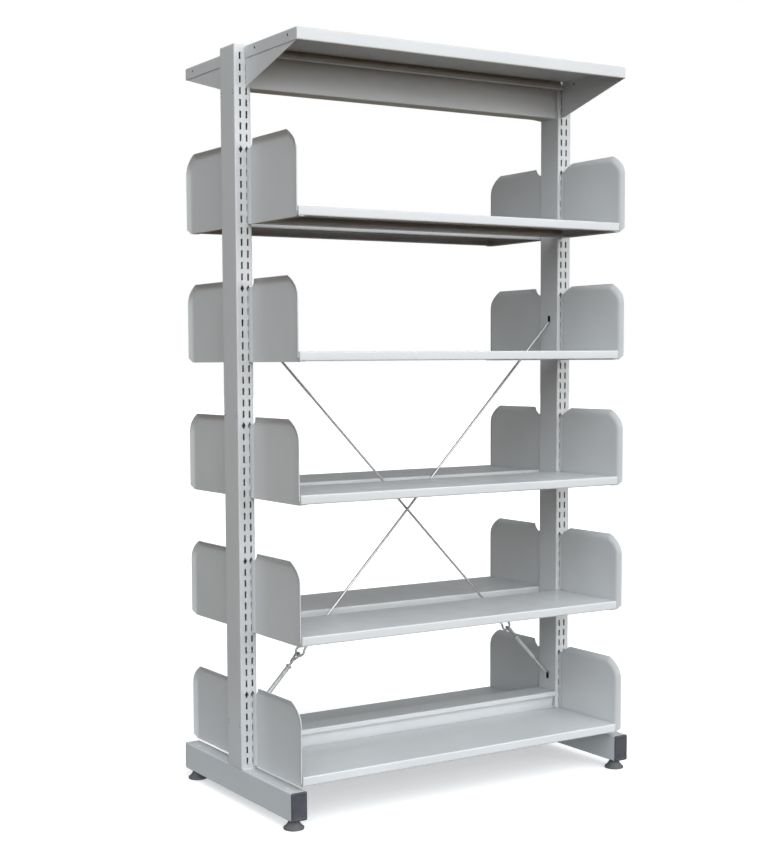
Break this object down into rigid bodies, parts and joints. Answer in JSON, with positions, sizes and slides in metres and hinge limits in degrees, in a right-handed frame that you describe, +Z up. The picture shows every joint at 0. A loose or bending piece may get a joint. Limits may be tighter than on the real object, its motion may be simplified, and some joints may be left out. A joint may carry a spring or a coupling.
{
  "type": "double sided library shelving",
  "caption": "Free-standing double sided library shelving bay with slotted posts, foot tubes, hook-on trays, end brackets, canopy tops and a tensioned cross brace.",
  "frame": {"origin": "on the floor, midway between the posts and between the two sides", "axes": "+Z up, X along the bay from the left post to the right post, the front side faces -Y"},
  "size_m": [0.9438, 0.521, 1.677],
  "materials": {
    "powder_coat": "light grey powder coat, satin",
    "black_plastic": "moulded black plastic, matte",
    "zinc_plate": "bright zinc plate"
  },
  "bodies": {
    "frame": {"post_left": "powder_coat", "foot_tube_left": "powder_coat", "post_right": "powder_coat", "foot_tube_right": "powder_coat", "end_cap_front_left": "black_plastic", "end_cap_front_right": "black_plastic", "end_cap_back_left": "black_plastic", "end_cap_back_right": "black_plastic", "top_beam": "powder_coat", "bottom_beam": "powder_coat", "tie_rod_a": "zinc_plate", "eye_bolt_a": "zinc_plate", "lock_nut_a": "zinc_plate", "hook_end_a": "zinc_plate", "tie_rod_b": "zinc_plate", "eye_bolt_b": "zinc_plate", "lock_nut_b": "zinc_plate", "hook_end_b": "zinc_plate"},
    "shelf_front_1": {"tray_front_1": "powder_coat", "bracket_front_left_1": "powder_coat", "bracket_front_right_1": "powder_coat"},
    "shelf_front_2": {"tray_front_2": "powder_coat", "bracket_front_left_2": "powder_coat", "bracket_front_right_2": "powder_coat"},
    "shelf_front_3": {"tray_front_3": "powder_coat", "bracket_front_left_3": "powder_coat", "bracket_front_right_3": "powder_coat"},
    "shelf_front_4": {"tray_front_4": "powder_coat", "bracket_front_left_4": "powder_coat", "bracket_front_right_4": "powder_coat"},
    "shelf_front_5": {"tray_front_5": "powder_coat", "bracket_front_left_5": "powder_coat", "bracket_front_right_5": "powder_coat"},
    "shelf_back_1": {"tray_back_1": "powder_coat", "bracket_back_left_1": "powder_coat", "bracket_back_right_1": "powder_coat"},
    "shelf_back_2": {"tray_back_2": "powder_coat", "bracket_back_left_2": "powder_coat", "bracket_back_right_2": "powder_coat"},
    "shelf_back_3": {"tray_back_3": "powder_coat", "bracket_back_left_3": "powder_coat", "bracket_back_right_3": "powder_coat"},
    "shelf_back_4": {"tray_back_4": "powder_coat", "bracket_back_left_4": "powder_coat", "bracket_back_right_4": "powder_coat"},
    "shelf_back_5": {"tray_back_5": "powder_coat", "bracket_back_left_5": "powder_coat", "bracket_back_right_5": "powder_coat"},
    "canopy_top_front": {"canopy_front": "powder_coat", "gusset_front_left": "powder_coat", "gusset_front_right": "powder_coat"},
    "canopy_top_back": {"canopy_back": "powder_coat", "gusset_back_left": "powder_coat", "gusset_back_right": "powder_coat"},
    "foot_front_left": {"levelling_foot_front_left": "black_plastic"},
    "foot_front_right": {"levelling_foot_front_right": "black_plastic"},
    "foot_back_left": {"levelling_foot_back_left": "black_plastic"},
    "foot_back_right": {"levelling_foot_back_right": "black_plastic"},
    "sleeve_a": {"tension_sleeve_a": "zinc_plate"},
    "sleeve_b": {"tension_sleeve_b": "zinc_plate"}
  },
  "joints": [
    {"name": "lift_shelf_front_1", "type": "slide", "parent": "frame", "child": "shelf_front_1", "axis": [0, 0, 1], "range_m": [0, 0.0065]},
    {"name": "lift_shelf_front_2", "type": "slide", "parent": "frame", "child": "shelf_front_2", "axis": [0, 0, 1], "range_m": [0, 0.0065]},
    {"name": "lift_shelf_front_3", "type": "slide", "parent": "frame", "child": "shelf_front_3", "axis": [0, 0, 1], "range_m": [0, 0.0065]},
    {"name": "lift_shelf_front_4", "type": "slide", "parent": "frame", "child": "shelf_front_4", "axis": [0, 0, 1], "range_m": [0, 0.0065]},
    {"name": "lift_shelf_front_5", "type": "slide", "parent": "frame", "child": "shelf_front_5", "axis": [0, 0, 1], "range_m": [0, 0.0065]},
    {"name": "lift_shelf_back_1", "type": "slide", "parent": "frame", "child": "shelf_back_1", "axis": [0, 0, 1], "range_m": [0, 0.0065]},
    {"name": "lift_shelf_back_2", "type": "slide", "parent": "frame", "child": "shelf_back_2", "axis": [0, 0, 1], "range_m": [0, 0.0065]},
    {"name": "lift_shelf_back_3", "type": "slide", "parent": "frame", "child": "shelf_back_3", "axis": [0, 0, 1], "range_m": [0, 0.0065]},
    {"name": "lift_shelf_back_4", "type": "slide", "parent": "frame", "child": "shelf_back_4", "axis": [0, 0, 1], "range_m": [0, 0.0065]},
    {"name": "lift_shelf_back_5", "type": "slide", "parent": "frame", "child": "shelf_back_5", "axis": [0, 0, 1], "range_m": [0, 0.0065]},
    {"name": "lift_canopy_top_front", "type": "slide", "parent": "frame", "child": "canopy_top_front", "axis": [0, 0, 1], "range_m": [0, 0.0065]},
    {"name": "lift_canopy_top_back", "type": "slide", "parent": "frame", "child": "canopy_top_back", "axis": [0, 0, 1], "range_m": [0, 0.0065]},
    {"name": "screw_foot_front_left", "type": "slide", "parent": "frame", "child": "foot_front_left", "axis": [0, 0, 1], "range_m": [-0.015, 0.0045]},
    {"name": "screw_foot_front_right", "type": "slide", "parent": "frame", "child": "foot_front_right", "axis": [0, 0, 1], "range_m": [-0.015, 0.0045]},
    {"name": "screw_foot_back_left", "type": "slide", "parent": "frame", "child": "foot_back_left", "axis": [0, 0, 1], "range_m": [-0.015, 0.0045]},
    {"name": "screw_foot_back_right", "type": "slide", "parent": "frame", "child": "foot_back_right", "axis": [0, 0, 1], "range_m": [-0.015, 0.0045]},
    {"name": "turn_sleeve_a", "type": "hinge", "parent": "frame", "child": "sleeve_a", "pos_m": [0.36052, 0.003, 0.26634], "axis": [-0.6929, 0, 0.721], "continuous": true},
    {"name": "turn_sleeve_b", "type": "hinge", "parent": "frame", "child": "sleeve_b", "pos_m": [-0.36052, -0.003, 0.26634], "axis": [0.6929, 0, 0.721], "continuous": true}
  ]
}
